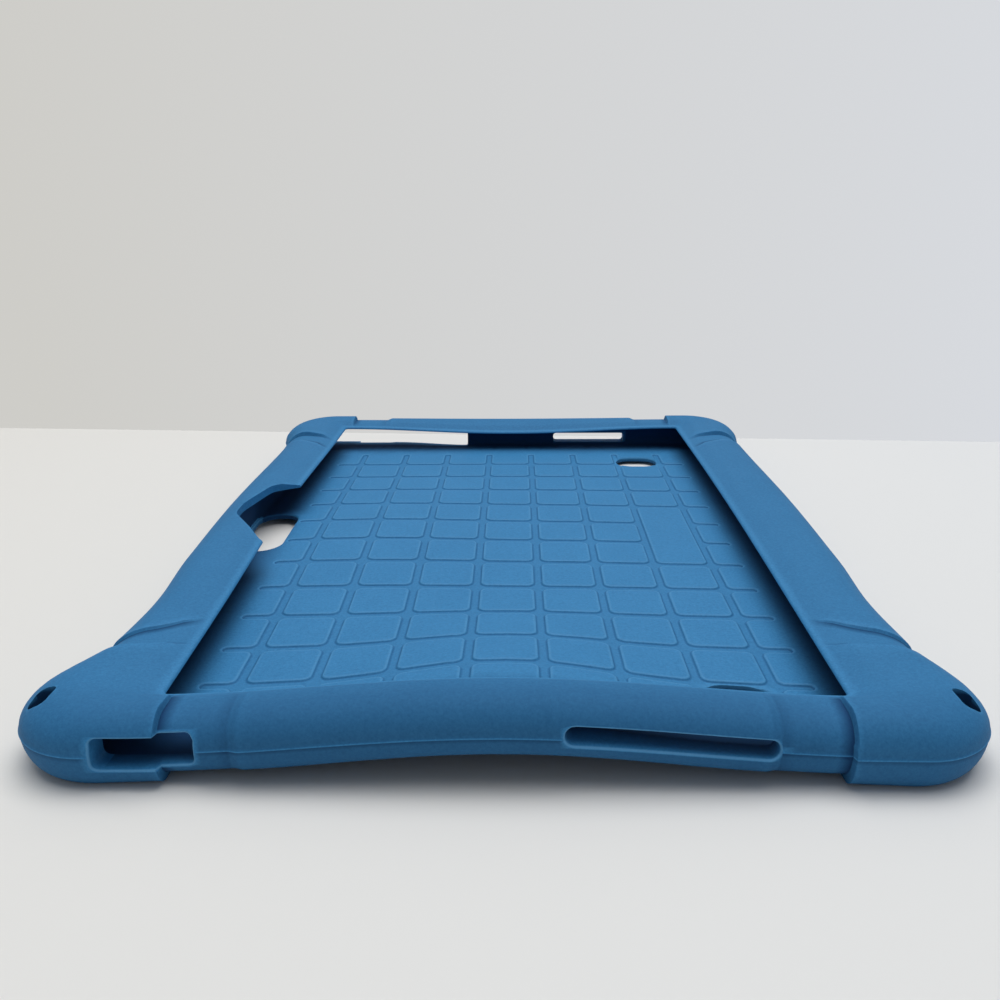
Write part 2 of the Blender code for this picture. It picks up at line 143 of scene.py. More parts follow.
def swell(station, near):
    """How much a station has of the raised middle, the bumper's rise and its flare."""
    part, value = station
    if part == "long":
        return (1.0 - smooth(value, middle_half_long, middle_half_long + step_run),
                smooth(value, bumper_rise_long, bumper_rise_long + step_run),
                smooth(value, *(near_flare if near else far_flare)))
    if part == "short":
        bumper = smooth(value, bumper_rise_short, bumper_rise_short + step_run)
        return 1.0 - smooth(value, middle_half_short, middle_half_short + soft_step_run), bumper, bumper
    return 0.0, 1.0, 1.0


def between(first, last, count):
    """Even points of a profile from after the first up to the last."""
    return [(first[0].lerp(last[0], k / count), first[1] + (last[1] - first[1]) * k / count)
            for k in range(1, count + 1)]


def turn(start, towards, rise, across, count):
    """A quarter round of a profile: it leaves start upright and ends level."""
    points = []
    for k in range(1, count + 1):
        angle = math.pi / 2 * k / count
        points.append((start[0] + towards * across * (1.0 - math.cos(angle)),
                       start[1] + rise * math.sin(angle)))
    return points


def inner_profile(floor, pocket, screen, outward):
    """From the floor up the pocket's wall, under the lip and round its edge."""
    points = [(floor, floor_top)]
    for k in range(1, fillet_pieces + 1):
        angle = math.pi / 2 * k / fillet_pieces
        points.append((floor.lerp(pocket, math.sin(angle)),
                       floor_top + floor_fillet * (1.0 - math.cos(angle))))
    points += between(points[-1], (pocket, lip_underside - lip_fillet), wall_pieces)
    points += turn(points[-1], (screen - pocket).normalized(), lip_fillet, lip_fillet, turn_pieces)
    points += between(points[-1], (screen + outward * edge_foot, edge_top - lip_edge), under_pieces)
    tip = (screen, edge_top - lip_edge + edge_foot)
    points += between(points[-1], tip, foot_pieces)
    points += turn(tip, outward, lip_edge - edge_foot, lip_edge, edge_pieces)
    return points


def outer_profile(edge, outer, screen, top, foot, bottom, heel_radius):
    """From the lip's edge over the crest, past the parting line and down round the heel."""
    crease = (outer.lerp(screen, crease_share), rim_top + (top - rim_top) * crease_rise)
    points = between(edge, crease, crease_pieces)
    points += between(crease, (outer.lerp(screen, crest_share), top), crown_pieces)
    for k in range(1, crest_pieces + 1):
        angle = math.pi / 2 * k / crest_pieces
        place = outer.lerp(screen, crest_share * (1.0 - math.sin(angle)))
        points.append((place, parting_height + (top - parting_height) * math.cos(angle)))
    out = (outer - screen).normalized()
    points[-1] = (outer, parting_height + parting_width)
    points += [(outer + out * parting_ridge, parting_height), (outer, parting_height - parting_width)]
    heel = min(heel_radius / (foot - outer).length, heel_limit)
    for k in range(1, heel_pieces + 1):
        angle = math.pi / 2 * k / heel_pieces
        place = outer.lerp(foot, heel * (1.0 - math.cos(angle)))
        points.append((place, parting_height - (parting_height - bottom) * math.sin(angle)))
    return points


def section(station, near):
    """One cross-section, from the floor round to the back."""
    middle, rise, flare = swell(station, near)
    rim, screen = plan_point(rim_plan, station), plan_point(screen_plan, station)
    pocket, floor = plan_point(pocket_plan, station), plan_point(floor_plan, station)
    outward = (rim - pocket).normalized()
    outer = rim.lerp(plan_point(near_bumper_plan if near else far_bumper_plan, station), flare)
    outer = outer + outward * middle_raise * middle
    top = rim_top + middle_raise * middle + bumper_rise * rise
    bottom = back_lift * (1.0 - rise)
    foot = pocket.lerp(floor, foot_share)
    heel_radius = rim_heel + (bumper_heel - rim_heel) * flare

    points = inner_profile(floor, pocket, screen, outward)
    points += outer_profile(points[-1], outer, screen, top, foot, bottom, heel_radius)
    if station[0] == "long":
        points = [(slanted(p, outer, screen), z) if z > parting_height else (p, z) for p, z in points]
    return points + between(points[-1], (foot, bottom), back_pieces) + [(floor, back_lift)]


def slanted(point, outer, screen):
    """Shift a point of a long side's lip, so that the steps run aslant over it."""
    share = (outer.x - point.x) / (outer.x - screen.x)
    shift = slant_reach * hill(point.y, slant_centre, slant_span) * share ** 2
    return Vector((point.x, point.y - shift))


# Each vertex has a tone of painted light, a highlight above 0 and shade below 0.
# Painted shade makes the rim a little darker than the floor, and the near side
# and the closed-in pocket darker still, the near bumpers less so. Painted
# highlights and shade mark the edges of the steps and the parting line.
rim_shade, pocket_shade, near_side_shade = -0.32, -1.5, -0.42
bumper_shade_cut, shade_cut_run = 0.35, 0.01
parting_highlight, parting_shade = 0.8, -0.5
# painted highlight on the upper edge of each step and painted shade at its foot
long_tones = {middle_half_long: 0.3, middle_half_long + step_run: -1.1,
              bumper_rise_long: -0.8, bumper_rise_long + step_run: 0.2}
short_tones = {middle_half_short: 0.1, middle_half_short + soft_step_run: -0.25,
               bumper_rise_short: -1.0, bumper_rise_short + step_run: 0.25}
step_tones = {"long": long_tones, "short": short_tones, "arc": {}}


def step_tone(station):
    """How much painted highlight a station has on the upper edge of a step, or painted shade at its
    foot.
    """
    part, value = station
    return sum(shade for mark, shade in step_tones[part].items() if abs(value - mark) < same_place)


# places in a section: the closed-in pocket up to near the lip's edge, the first
# point past that edge, where the near side's painted shade has come in fully,
# the parting line, and the back's points at the end
light_pieces = 2
under_points = 1 + fillet_pieces + wall_pieces + turn_pieces + under_pieces
pocket_points = slice(1, under_points - light_pieces)
lip_points = under_points + foot_pieces + edge_pieces
near_points = crease_pieces + crown_pieces
parting_point = lip_points + crease_pieces + crown_pieces + crest_pieces
back_points = back_pieces + 1
quarter = quarter_stations()
back_way = quarter[::-1]
around = [(s, 1, 1) for s in quarter] + [(s, -1, 1) for s in back_way[1:]]
around += [(s, -1, -1) for s in quarter[1:]] + [(s, 1, -1) for s in back_way[1:-1]]
case_mesh = bmesh.new()
tone = case_mesh.verts.layers.float.new("painted_shading")
rows = []
for station, side_x, side_y in around:
    row = [case_mesh.verts.new((p.x * side_x, p.y * side_y, z))
           for p, z in section(station, side_y < 0)]
    # painted shade over the closed-in pocket's wall and the lip's underside, where little light reaches
    for vertex in row[pocket_points]:
        vertex[tone] = pocket_shade
    # painted shade on the near side's outer skin, coming in from the lip's edge, less on the near
    # bumpers
    foot = row[-1].co
    row_near_shade = near_side_shade * smooth(-foot.y, straight_y, floor_plan[1])
    row_near_shade *= 1.0 - bumper_shade_cut * smooth(abs(foot.x), bumper_rise_short - shade_cut_run, bumper_rise_short)
    for k, vertex in enumerate(row[lip_points:-back_points], 1):
        vertex[tone] = (rim_shade + row_near_shade * min(k / near_points, 1.0)
                        + step_tone(station) * min(k / crease_pieces, 1.0))
    # painted highlight along the parting ridge and painted shade just below it
    row[parting_point][tone] += parting_highlight
    row[parting_point + 1][tone] += parting_shade
    rows.append(row)
for row, following in zip(rows, rows[1:] + rows[:1]):
    for k in range(len(row) - 1):
        case_mesh.faces.new((row[k], row[k + 1], following[k + 1], following[k]))
floor_rim, back_rim = [row[0] for row in rows], [row[-1] for row in rows]

# The floor has shallow grooves pressed into it, which leave rows of pads with
# softly rounded edges. Three pads on the right are joined into a bare plate.
groove_width = 0.0023
pad_pitch_x, pad_pitch_y = 0.0172, 0.0180
pad_corner = 0.0020
groove_columns = [(k - 3.5) * pad_pitch_x for k in range(8)]
groove_rows = [(k - 5.0) * pad_pitch_y for k in range(11)]
groove_shift = -0.0012
overrun_x, overrun_y = 0.0078, 0.0140
plate_column, plate_rows = 6, (4, 5, 6)
fillet_steps, tip_steps = 4, 3
# the groove's side, from the floor down: how far back it stands, how deep it is
# and its painted highlight (above 0) or painted shade (below 0)
groove_side = ((0.00085, 0.0, 0.0), (0.00042, 0.0, 0.42), (0.00022, 0.00004, 0.5),
               (0.00008, 0.00014, 0.2), (-0.00004, 0.00032, -0.5), (-0.00022, 0.00045, -0.6),
               (-0.00060, 0.00045, -0.15))


def rounded_box(low_x, high_x, low_y, high_y, radius, pieces=4):
    """Outline of a rounded rectangle, counter-clockwise."""
    centres = ((high_x - radius, high_y - radius), (low_x + radius, high_y - radius),
               (low_x + radius, low_y + radius), (high_x - radius, low_y + radius))
    outline = []
    for q, (x, y) in enumerate(centres):
        for k in range(pieces + 1):
            angle = math.pi / 2 * (q + k / pieces)
            outline.append((x + radius * math.cos(angle), y + radius * math.sin(angle)))
    return outline


def pads(back):
    """Outlines of the pads, each drawn in by `back`."""
    gap = groove_width / 2 + back
    outlines = []
    for i, (left, right) in enumerate(zip(groove_columns, groove_columns[1:])):
        for j, (near, far) in enumerate(zip(groove_rows, groove_rows[1:])):
            if i == plate_column and j in plate_rows:
                if j != plate_rows[0]:
                    continue
                far = groove_rows[plate_rows[-1] + 1]
            outlines.append(rounded_box(left + gap, right - gap, near + gap, far - gap,
                                        pad_corner - back))
    return outlines


def groove_end(centre, root, tip, back):
    """One groove's open end along +X, with its sides stood back by `back`."""
    gap, fillet = groove_width / 2 + back, pad_corner - back
    bend = tip - groove_width / 2
    half = []
    for k in range(fillet_steps + 1):
        angle = math.pi / 2 * k / fillet_steps
        half.append((root + pad_corner - fillet * math.cos(angle),
                     gap + fillet * (1.0 - math.sin(angle))))
    for k in range(tip_steps):
        angle = math.pi / 2 * k / tip_steps
        half.append((bend + gap * math.sin(angle), gap * math.cos(angle)))
    return ([(x, centre - y) for x, y in half] + [(bend + gap, centre)]
            + [(x, centre + y) for x, y in half[::-1]])


def groove_network(back):
    """Outer outline of all the grooves, with their open ends."""
    gap = groove_width / 2
    root_x, root_y = groove_columns[-1] + gap, groove_rows[-1] + gap
    right = [p for y in groove_rows for p in groove_end(y, root_x, root_x + overrun_x, back)]
    top = [(-y, x) for c in groove_columns
           for x, y in groove_end(c, root_y, root_y + overrun_y, back)]
    # two grooves share the fillet at each corner, so one copy is left out
    half = right[fillet_steps + 1:] + top[fillet_steps + 1:]
    return half + [(-x, -y) for x, y in half]


def fill(mesh, *loops):
    """Fill the flat region between closed loops of vertices."""
    edges = []
    for loop in loops:
        edges += [mesh.edges.get(pair) or mesh.edges.new(pair)
                  for pair in zip(loop, loop[1:] + loop[:1])]
    bmesh.ops.triangle_fill(mesh, use_beauty=True, edges=edges)


levels = []
for back, depth, shade in groove_side:
    outlines = [groove_network(back)] + pads(back)
    levels.append([[case_mesh.verts.new((x, y + groove_shift, floor_top - depth))
                    for x, y in outline] for outline in outlines])
    for vertex in [vertex for outline in levels[-1] for vertex in outline]:
        vertex[tone] = shade
for upper, lower in zip(levels, levels[1:]):
    for high, low in zip(upper, lower):
        for k in range(len(high)):
            n = (k + 1) % len(high)
            case_mesh.faces.new((high[k], high[n], low[n], low[k]))
fill(case_mesh, floor_rim, levels[0][0])
fill(case_mesh, *levels[-1])
for pad in levels[0][1:]:
    case_mesh.faces.new(pad)
case_mesh.faces.new(back_rim)
bmesh.ops.triangulate(case_mesh, faces=case_mesh.faces)
bmesh.ops.recalc_face_normals(case_mesh, faces=case_mesh.faces)

# The openings are cut clean through the moulding: a plug opening and a slot in
# the near side, two in the far side, two sound holes and the camera's hole in
# the back, a notch in the lip above it, and strap holes through two bumpers.
# Those that face the viewer have rounded rims.
beyond = 0.010
half_way = floor_top + pocket_depth / 2
inside = floor_plan[1] - 0.00115
rim_round = 0.0006
rim_turns = [math.radians(degrees) for degrees in (15, 35, 55, 75, 90)]
hole_mouth = half_way - 0.001
strap_levels = (0.0060, 0.0085, 0.0105, 0.0120, 0.0132)


def loft(mesh, loops):
    """Add a closed cutter through several outlines with the same number of points."""
    rings = [[mesh.verts.new(point) for point in loop] for loop in loops]
    mesh.faces.new(rings[0])
    mesh.faces.new(rings[-1][::-1])
    for low, high in zip(rings, rings[1:]):
        for k in range(len(low)):
            n = (k + 1) % len(low)
            mesh.faces.new((low[n], low[k], high[k], high[n]))


def dense(outline, piece=0.0006):
    """The same outline with a point at least every piece."""
    points = []
    for here, after in zip(outline, outline[1:] + outline[:1]):
        count = max(1, math.ceil(math.dist(here, after) / piece))
        points += [tuple(Vector(here).lerp(Vector(after), k / count)) for k in range(count)]
    return points


def widened(outline, distance):
    """The outline moved outwards by a distance."""
    moved = []
    for before, here, after in zip(outline[-1:] + outline[:-1], outline, outline[1:] + outline[:1]):
        along = (Vector(after) - Vector(before)).normalized()
        moved.append((here[0] + along.y * distance, here[1] - along.x * distance))
    return moved


def flared_opening(mesh, outline, start, skin, end):
    """An opening that widens in a quarter round where it meets the skin."""
    outline = dense(outline)
    mouth = widened(outline, rim_round * (1.0 - math.sin(rim_turns[0])))
    loops = [[start(u, v) for u, v in mouth]]
    for angle in rim_turns:
        ring = widened(outline, rim_round * (1.0 - math.sin(angle)))
        loops.append([skin(u, v, rim_round * (1.0 - math.cos(angle))) for u, v in ring])
    loft(mesh, loops + [[end(u, v) for u, v in outline]])


def near_skin(x, z, depth):
    """A point of the near side's outer face, or a depth behind it."""
    middle, rise, flare = swell(("short", abs(x)), True)
    outer = rim_plan[1] + (near_bumper_plan[1] - rim_plan[1]) * flare + middle_raise * middle
    if z > parting_height:
        top = rim_top + middle_raise * middle + bumper_rise * rise
        turned = math.acos((z - parting_height) / (top - parting_height))
        back = (outer - screen_plan[1]) * crest_share * (1.0 - math.sin(turned))
    else:
        bottom = back_lift * (1.0 - rise)
        turned = math.asin((parting_height - z) / (parting_height - bottom))
        back = (rim_heel + (bumper_heel - rim_heel) * flare) * (1.0 - math.cos(turned))
    return x, back + depth - outer, z


def floor_skin(x, y, depth):
    """A point of the floor, or a depth below it."""
    return x, y, floor_top - depth


def hole(width, length, corner, x, y, tilt=0.0):
    """Outline of a rounded hole, turned by tilt."""
    c, s = math.cos(tilt), math.sin(tilt)
    shape = rounded_box(-width / 2, width / 2, -length / 2, length / 2, corner, pieces=8)
    return [(x + u * c - v * s, y + u * s + v * c) for u, v in shape]


def softened(corners, ends, reach=0.0025, pieces=6):
    """A line through corners, each cut round by a smooth bend."""
    first, last = (Vector(end) for end in ends)
    corners = [Vector(corner) for corner in corners]
    points = [first]
    for before, corner, after in zip([first] + corners, corners, corners[1:] + [last]):
        start = corner + (before - corner).normalized() * reach
        end = corner + (after - corner).normalized() * reach
        points += [start.lerp(corner, k / pieces).lerp(corner.lerp(end, k / pieces), k / pieces)
                   for k in range(pieces + 1)]
    return points + [last]


# near and far sides: low and high x, low and high z, corner radius. The wide
# far opening's lower edge slopes down towards the middle.
plug_opening = rounded_box(-0.0780, -0.0590, 0.0048, 0.0113, 0.0013)
near_slot = rounded_box(0.0115, 0.0520, 0.0063, 0.0102, 0.0019)
far_slot = rounded_box(0.0185, 0.0487, 0.0039, 0.0077, 0.0012)
slope, slope_run, slope_piece = 0.0010, (-0.0500, -0.0185), 0.004
far_opening = [(x, z - slope * smooth(x, *slope_run)) if z < parting_height else (x, z)
               for x, z in dense(rounded_box(-0.0770, -0.0185, 0.0029, 0.0114, 0.0008), slope_piece)]
# floor and bumpers: width, length, corner radius, place, and turn
near_sound_hole = hole(0.0160, 0.0130, 0.0060, 0.0510, -0.0975)
far_sound_hole = hole(0.0160, 0.0130, 0.0060, 0.0510, 0.0925)
camera_hole = hole(0.0140, 0.0345, 0.0065, -0.0775, 0.0080)
floor_holes = [near_sound_hole, far_sound_hole, camera_hole]
strap_holes = [hole(0.0042, 0.0058, 0.0015, side * 0.0914, -0.1150, side * math.radians(9))
               for side in (-1, 1)]
notch_near, notch_far = -0.0275, 0.0260
notch = softened([(-screen_plan[0], notch_far), (-0.0780, 0.0215), (-0.0836, 0.0020),
                  (-0.0836, -0.0065), (-screen_plan[0], notch_near)],
                 [(beyond - screen_plan[0], notch_far), (beyond - screen_plan[0], notch_near)])

cutter_mesh = bmesh.new()
near_openings = [plug_opening, near_slot]
for outline in near_openings:
    flared_opening(cutter_mesh, outline, lambda x, z: (x, -near_bumper_plan[1] - beyond, z),
                   near_skin, lambda x, z: (x, -inside, z))
for outline in (far_opening, far_slot):
    loft(cutter_mesh, [[(x, y, z) for x, z in outline] for y in (inside, rim_plan[1] + beyond)])
for outline in floor_holes:
    flared_opening(cutter_mesh, outline, lambda x, y: (x, y, hole_mouth), floor_skin,
                   lambda x, y: (x, y, -beyond))
for outline in strap_holes:
    loft(cutter_mesh, [[(x, y, z) for x, y in outline]
                       for z in (-beyond, *strap_levels, rim_top + beyond)])
loft(cutter_mesh, [[(p.x, p.y, z) for p in notch] for z in (half_way, rim_top + beyond)])
bmesh.ops.recalc_face_normals(cutter_mesh, faces=cutter_mesh.faces)


def new_object(mesh, name):
    """Turn a finished mesh into an object of the scene."""
    data = bpy.data.meshes.new(name)
    mesh.to_mesh(data)
    mesh.free()
    made = bpy.data.objects.new(name, data)
    bpy.context.collection.objects.link(made)
    return made


silicone_case = new_object(case_mesh, "silicone_case")
cutters = new_object(cutter_mesh, "opening_cutters")
step = silicone_case.modifiers.new("openings", 'BOOLEAN')
step.operation = 'DIFFERENCE'
step.solver = 'EXACT'
step.object = cutters
evaluated = silicone_case.evaluated_get(bpy.context.evaluated_depsgraph_get())
cut_case = bpy.data.meshes.new_from_object(evaluated)
silicone_case.modifiers.clear()
silicone_case.data = cut_case
bpy.data.objects.remove(cutters)

# The rounded rims of the openings get a painted highlight, most on the near side,
# and painted shade darkens their walls inside. Both come in over a depth below the skin.
side_rim_highlight, floor_rim_highlight, wall_shade = 1.1, 0.3, -1.3
highlight_depth, shade_depth, skin_play = (0.0, 0.00012), (0.00035, 0.00090), 0.00002
touch = 0.0001


def opening_tone(depth, pale):
    """Painted highlight or painted shade on an opening's wall, by its depth below the skin and how
    strong its rim's highlight is.
    """
    return pale * smooth(depth, *highlight_depth) - (pale - wall_shade) * smooth(depth, *shade_depth)


def around_opening(u, v, outline):
    """Whether a place lies within an opening's box or on its rounded rim."""
    return all(min(p[k] for p in outline) - rim_round < (u, v)[k]
               < max(p[k] for p in outline) + rim_round for k in (0, 1))


tones = silicone_case.data.attributes["painted_shading"].data
for vertex, shade in zip(silicone_case.data.vertices, tones):
    x, y, z = vertex.co
    pale = side_rim_highlight
    if y < touch - pocket_plan[1] and any(around_opening(x, z, opening) for opening in near_openings):
        depth = y - near_skin(x, z, 0.0)[1]
    elif y > pocket_plan[1] - touch and z < lip_underside and shade.value == 0.0:
        depth = rim_round
    elif z < floor_top and any(around_opening(x, y, opening) for opening in floor_holes):
        depth, pale = floor_top - z, floor_rim_highlight
    else:
        continue
    if depth > skin_play:
        shade.value = opening_tone(depth, pale)

# Empty, the soft case doesn't lie flat: its near side arches off the table, the
# floor has risen behind it, and the long sides have moved in and out a little.
# Thin strips are marked over floor and back first, so that both bend smoothly.
strip, floor_play = 0.0065, 1e-5
# heights, then half spans or centres and half spans
hump_y, hump_fade = -0.1160, 0.0805
arch_height, arch_half_span = 0.0041, 0.0750
hump_height, hump_half_span = 0.0042, 0.0440
dome_height = 0.0014
swell_height, swell_across, swell_along = 0.0016, (-0.0520, 0.0620), (0.0054, 0.0850)
far_lip_sag = 0.0022
bow_out, bow_out_along = 0.0010, (0.0150, 0.0700)
bow_in, bow_in_along = 0.0014, (-0.0640, 0.0300)
left_in, left_in_run = 0.0019, 0.0300
lip_bow, lip_bow_along = 0.0017, (0.0200, 0.1900)
near_lean, near_lean_start = 0.0007, 0.0940
lip_level = lip_underside - (rim_top - lip_underside)


def lift(x, y, z):
    """How far a point has risen from the flat moulding."""
    behind = y > hump_y
    arch = arch_height * hill(x, 0.0, arch_half_span) * (hill(y, hump_y, hump_fade) if behind else 1.0)
    before_fade = 2 * (pocket_plan[1] + hump_y)
    hump = (hump_height * hill(x, 0.0, hump_half_span)
            * hill(y, hump_y, hump_fade if behind else before_fade))
    loose = 1.0 - smooth(z, floor_top, lip_underside)
    dome = dome_height * hill(x, 0.0, pocket_plan[0]) * hill(y, 0.0, pocket_plan[1])
    return arch + hump * loose + dome + swell_height * hill(x, *swell_across) * hill(y, *swell_along)


def slack(point):
    """Where a point of the flat moulding lies on the empty case."""
    x, y, z = point
    rise = lift(x, y, z)
    if y > 0.0 and z > lip_level:
        rise -= far_lip_sag * hill(x, 0.0, screen_plan[0]) * smooth(y, rim_plan[1], screen_plan[1])
    share = smooth(abs(x), screen_plan[0], rim_plan[0])
    bow = bow_out * hill(y, *bow_out_along) - bow_in * hill(y, *bow_in_along)
    if x < 0.0:
        bow -= left_in * smooth(straight_y - abs(y), 0.0, left_in_run)
    outward = bow * share
    if z > lip_level:
        outward += lip_bow * hill(y, *lip_bow_along) * (1.0 - share)
    lean = near_lean * smooth(-y, near_lean_start, straight_y) * share
    return Vector((x + outward * math.copysign(1.0, x) - lean, y, z + rise))


def in_floor(point, play):
    """Whether a point of the flat moulding is on the floor or below it, within its plan."""
    return (point.z < floor_top + play and abs(point.x) < floor_plan[0] + play
            and abs(point.y) < floor_plan[1] + play)


slack_mesh = bmesh.new()
slack_mesh.from_mesh(silicone_case.data)
level = [face for face in slack_mesh.faces
         if all(in_floor(vertex.co, floor_play) for vertex in face.verts)]
for axis, normal in ((0, Vector((1, 0, 0))), (1, Vector((0, 1, 0)))):
    reach = floor_plan[axis]
    for k in range(round(-reach / strip) + 1, round(reach / strip)):
        geometry = {item for face in level for item in (face, *face.edges, *face.verts)}
        marked = bmesh.ops.bisect_plane(slack_mesh, geom=list(geometry), dist=same_place,
                                        plane_co=normal * k * strip, plane_no=normal)
        level = [item for item in marked["geom"] if isinstance(item, bmesh.types.BMFace)]
slack_mesh.normal_update()
# Inside the strap holes, and on the floor where the lip covers it, the skin
# gets the same painted shade as the closed-in pocket. On the floor it fades with the
# distance from the pocket's wall, sooner at the far end and later at the near one.
upright = 0.05
covered = (0.007, 0.020)
far_sooner, near_later = 0.003, 0.004
slack_tone = slack_mesh.verts.layers.float["painted_shading"]
for vertex in slack_mesh.verts:
    x, y, z = vertex.co
    if (any(around_opening(x, y, outline) for outline in strap_holes)
            and all(abs(face.normal.z) < upright for face in vertex.link_faces)):
        vertex[slack_tone] = pocket_shade
    if in_floor(vertex.co, touch):
        from_wall = min(pocket_plan[0] - abs(x), pocket_plan[1] - y + far_sooner,
                        pocket_plan[1] + y - near_later)
        vertex[slack_tone] += pocket_shade * (1.0 - smooth(from_wall, *covered))
    vertex.co = slack(vertex.co)
bmesh.ops.triangulate(slack_mesh, faces=[f for f in slack_mesh.faces if len(f.verts) > 4])
slack_mesh.to_mesh(silicone_case.data)
slack_mesh.free()
silicone_case.data.shade_smooth()
sharp_angle = math.radians(38)
silicone_case.data.set_sharp_from_angle(angle=sharp_angle)


# The rubber is one blue with a very fine grain in its matte skin. A painted
# highlight makes cut and moulded edges a little paler, and painted shade makes
# creases and closed-in places darker. Those places are also rougher.
class Wire:
    """A value in a material. Sums and products of wires add the nodes that work them out."""

    def __init__(self, tree, socket=None):
        self.tree, self.socket = tree, socket

    def node(self, kind, settings=None, inputs=None, output=0):
        """Add a node: its settings first, then its sockets' values or wires."""
        made = self.tree.nodes.new(kind)
        for name, value in (settings or {}).items():
            setattr(made, name, value)
        for name, value in (inputs or {}).items():
            socket = made.inputs[name]
            if isinstance(value, Wire):
                self.tree.links.new(value.socket, socket)
            else:
                socket.default_value = value
        return Wire(self.tree, made.outputs[output])

    def math(self, operation, first, second=0.0):
        """Add one Math node."""
        return self.node('ShaderNodeMath', {"operation": operation}, {0: first, 1: second})

    def __add__(self, other):
        return self.math('ADD', self, other)

    def __sub__(self, other):
        return self.math('SUBTRACT', self, other)

    def __mul__(self, other):
        return self.math('MULTIPLY', self, other)

    def __rsub__(self, other):
        return self.math('SUBTRACT', other, self)

    __radd__, __rmul__ = __add__, __mul__

    def mixed(self, first, second):
        """A colour between first and second, by this value."""
        return self.node('ShaderNodeMix', {"data_type": 'RGBA'}, {0: self, 6: first, 7: second},
                         output=2)


deep_blue = (0.021, 0.158, 0.355, 1.0)
worn_blue = (0.045, 0.246, 0.508, 1.0)
painted_highlight_blue = (0.120, 0.350, 0.610, 1.0)
painted_shade_blue = (0.006, 0.045, 0.130, 1.0)
# noises: scale, detail, roughness
grain_noise, speck_noise, cloud_noise = (2600.0, 2.0, 0.6), (1300.0, 1.0, 0.5), (55.0, 4.0, 0.6)
grain_share, speck_share, cloud_share, mottle_start = 0.8, 0.8, 0.35, 0.475
highlight_strength, shade_strength = 0.55, 0.65
least_rough, grain_rough, crease_rough = 0.52, 0.16, 0.35
grain_strength, grain_height, soft_gloss = 0.4, 0.00006, 0.22
silicone = bpy.data.materials.new("matte_silicone")
silicone.use_nodes = True
shader = silicone.node_tree.nodes["Principled BSDF"]
skin = Wire(silicone.node_tree)
place = skin.node('ShaderNodeTexCoord', output="Object")


def noise(scale, detail, roughness):
    """Cloudy noise over the case."""
    return skin.node('ShaderNodeTexNoise', inputs={"Vector": place, "Scale": scale, "Detail": detail,
                                                   "Roughness": roughness})


grain, speck, clouds = noise(*grain_noise), noise(*speck_noise), noise(*cloud_noise)
painted_shading = skin.node('ShaderNodeAttribute', {"attribute_name": "painted_shading"}, output="Fac")
# painted highlight, from the positive part of the vertex tone
rims = painted_shading.math('MAXIMUM', painted_shading, 0.0) * highlight_strength
# painted shade, from the negative part of the vertex tone
creases = painted_shading.math('MAXIMUM', painted_shading * -1.0, 0.0) * shade_strength
mottle = grain * grain_share + speck * speck_share + clouds * cloud_share - mottle_start
colour = rims.mixed(creases.mixed(mottle.mixed(deep_blue, worn_blue), painted_shade_blue), painted_highlight_blue)
roughness = grain * grain_rough + creases * crease_rough + least_rough
bump = skin.node('ShaderNodeBump', inputs={"Strength": grain_strength, "Distance": grain_height,
                                           "Height": grain + speck})
for finish, socket in ((colour, "Base Color"), (roughness, "Roughness"), (bump, "Normal")):
    silicone.node_tree.links.new(finish.socket, shader.inputs[socket])
shader.inputs["Specular IOR Level"].default_value = soft_gloss
silicone_case.data.materials.clear()
silicone_case.data.materials.append(silicone)
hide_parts("tablet_case")
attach(silicone_case, "root")

# The case lies on a plain pale table, whose far edge runs a little askew just
# behind it. A plain pale wall stands farther back, warmer on the left and
# lighter on the right. Neither is part of the case.
table_left, table_right = (0.758, 0.735, 0.690, 1.0), (0.740, 0.752, 0.765, 1.0)
wall_colour = (0.64, 0.64, 0.64, 1.0)
wall_left, wall_right = (0.618, 0.610, 0.580, 1.0), (0.680, 0.700, 0.735, 1.0)
table_change, wall_change = 0.6, 1.4
edge_left, edge_right = Vector((-0.246, 0.164, 0.0)), Vector((0.217, 0.134, 0.0))
table_reach, table_depth, table_thickness = 1.5, 2.5, 0.03
wall_y, wall_half, wall_low, wall_high = 1.1, 3.0, -1.0, 2.0
board_roughness = 0.8


def pale_board(name, corners, colour):
    """One flat board of the surroundings."""
    data = bpy.data.meshes.new(name)
    data.from_pydata(corners, [], [(0, 1, 2, 3)])
    board = bpy.data.objects.new(name, data)
    bpy.context.collection.objects.link(board)
    finish = bpy.data.materials.new(name)
    finish.use_nodes = True
    matte = finish.node_tree.nodes["Principled BSDF"]
    matte.inputs["Base Color"].default_value = colour
    matte.inputs["Roughness"].default_value = board_roughness
    data.materials.append(finish)
    return finish.node_tree


def across(paint, left, right, change):
    """A colour that goes from left to right over a board."""
    place = paint.node('ShaderNodeTexCoord', output="Object")
    along_x = paint.node('ShaderNodeSeparateXYZ', inputs={0: place}, output="X")
    return (along_x * (1.0 / change) + 0.5).mixed(left, right)


def shown_to_camera(tree, lit, shown, end):
    """Let the camera alone see `shown`, so that it needs no light that would fall on the case."""
    seen = lit.node('ShaderNodeLightPath', output="Is Camera Ray")
    both = lit.node('ShaderNodeMixShader', inputs={0: seen, 1: lit, 2: shown})
    tree.links.new(both.socket, tree.nodes[end].inputs["Surface"])


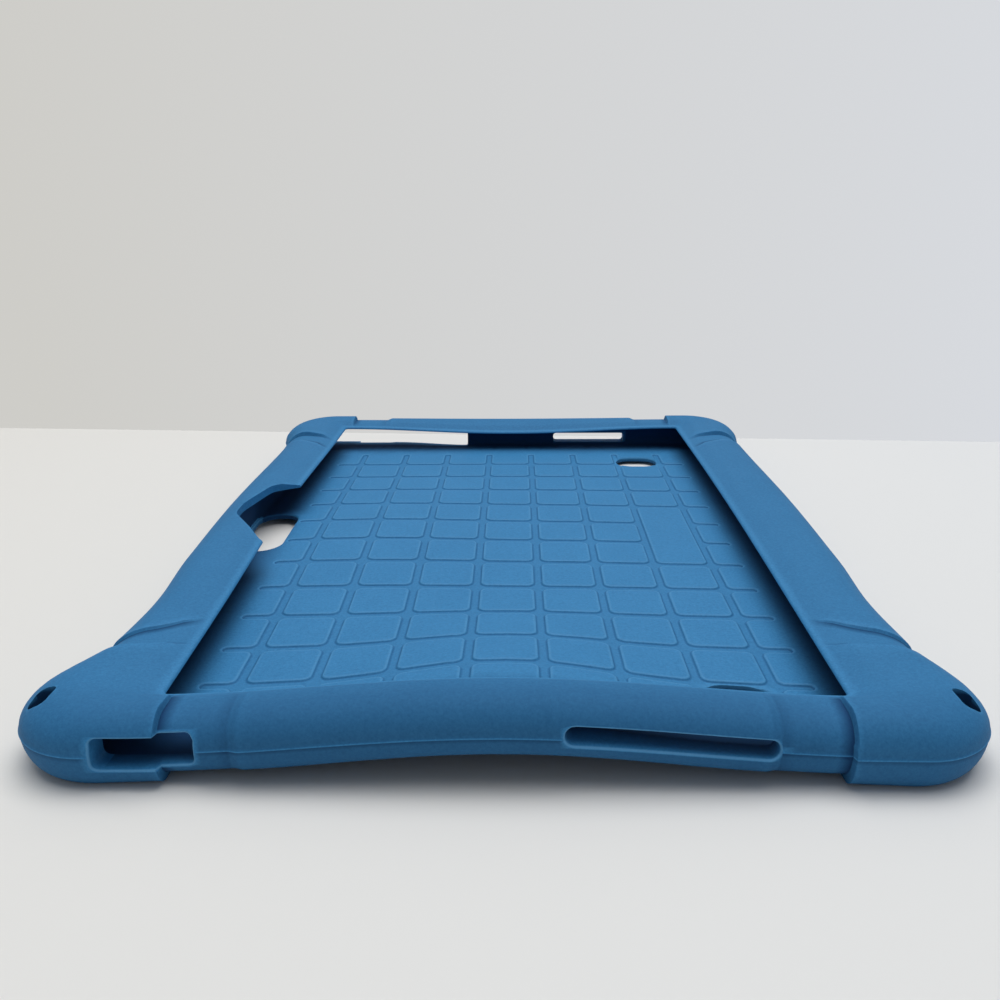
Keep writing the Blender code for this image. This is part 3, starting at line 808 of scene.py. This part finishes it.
along = (edge_right - edge_left).normalized()
far_left, far_right = edge_left - along * table_reach, edge_right + along * table_reach
toward, down = Vector((0, -table_depth, 0)), Vector((0, 0, -table_thickness))
top = pale_board("table_top", [far_left, far_left + toward, far_right + toward, far_right], table_left)
pale_board("table_edge", [far_left, far_right, far_right + down, far_left + down], table_left)
top.links.new(across(Wire(top), table_left, table_right, table_change).socket,
              top.nodes["Principled BSDF"].inputs["Base Color"])
wall = pale_board("wall_behind", [(-wall_half, wall_y, wall_low), (wall_half, wall_y, wall_low),
                                  (wall_half, wall_y, wall_high), (-wall_half, wall_y, wall_high)],
                  wall_colour)
lit_wall = Wire(wall, wall.nodes["Principled BSDF"].outputs[0])
even_wall = lit_wall.node('ShaderNodeEmission',
                          inputs={"Color": across(lit_wall, wall_left, wall_right, wall_change)})
shown_to_camera(wall, lit_wall, even_wall, "Material Output")

# Most of the light is soft and from above, so that the sides which face the
# viewer are darker than the top. The rest is the room's own faint, cooler light.
room_colour, room_strength, shown_strength = (0.90, 0.95, 1.0, 1.0), 0.28, 1.05
world = bpy.data.worlds.new("room")
bpy.context.scene.world = world
world.use_nodes = True
room_light = world.node_tree.nodes["Background"]
room_light.inputs["Color"].default_value = room_colour
room_light.inputs["Strength"].default_value = room_strength
faint = Wire(world.node_tree, room_light.outputs[0])
pale_room = faint.node('ShaderNodeBackground', inputs={"Color": wall_left, "Strength": shown_strength})
shown_to_camera(world.node_tree, faint, pale_room, "World Output")

lamp_place, lamp_size, lamp_power = Vector((0.08, 0.12, 1.75)), 1.7, 29.6
lamp_data = bpy.data.lights.new("lamp_above", 'AREA')
lamp_data.energy, lamp_data.size = lamp_power, lamp_size
lamp_above = bpy.data.objects.new("lamp_above", lamp_data)
lamp_above.location = lamp_place
lamp_above.rotation_euler = (-lamp_place).to_track_quat('-Z', 'Y').to_euler()
bpy.context.collection.objects.link(lamp_above)

# The camera looks along the case from low in front of its near side.
image_size, focal_pixels, sensor = 1000, 963.0, 36.0
pitch, heading, roll = 0.31765, -0.017618, -0.006379
camera_place, nearest = (0.00244, -0.28355, 0.11037), 0.005
forward = Vector((math.sin(heading) * math.cos(pitch), math.cos(heading) * math.cos(pitch),
                  -math.sin(pitch)))
level_right = Vector((math.cos(heading), -math.sin(heading), 0.0))
level_up = level_right.cross(forward)
right = math.cos(roll) * level_right + math.sin(roll) * level_up
up = -math.sin(roll) * level_right + math.cos(roll) * level_up
view = bpy.data.cameras.new("view")
view.sensor_width = sensor
view.lens = focal_pixels * sensor / image_size
view.clip_start = nearest
camera = bpy.data.objects.new("view", view)
stand = Matrix((right, up, -forward)).transposed().to_4x4()
stand.translation = camera_place
camera.matrix_world = stand
bpy.context.collection.objects.link(camera)
bpy.context.scene.camera = camera
bpy.context.scene.view_settings.view_transform = 'Standard'
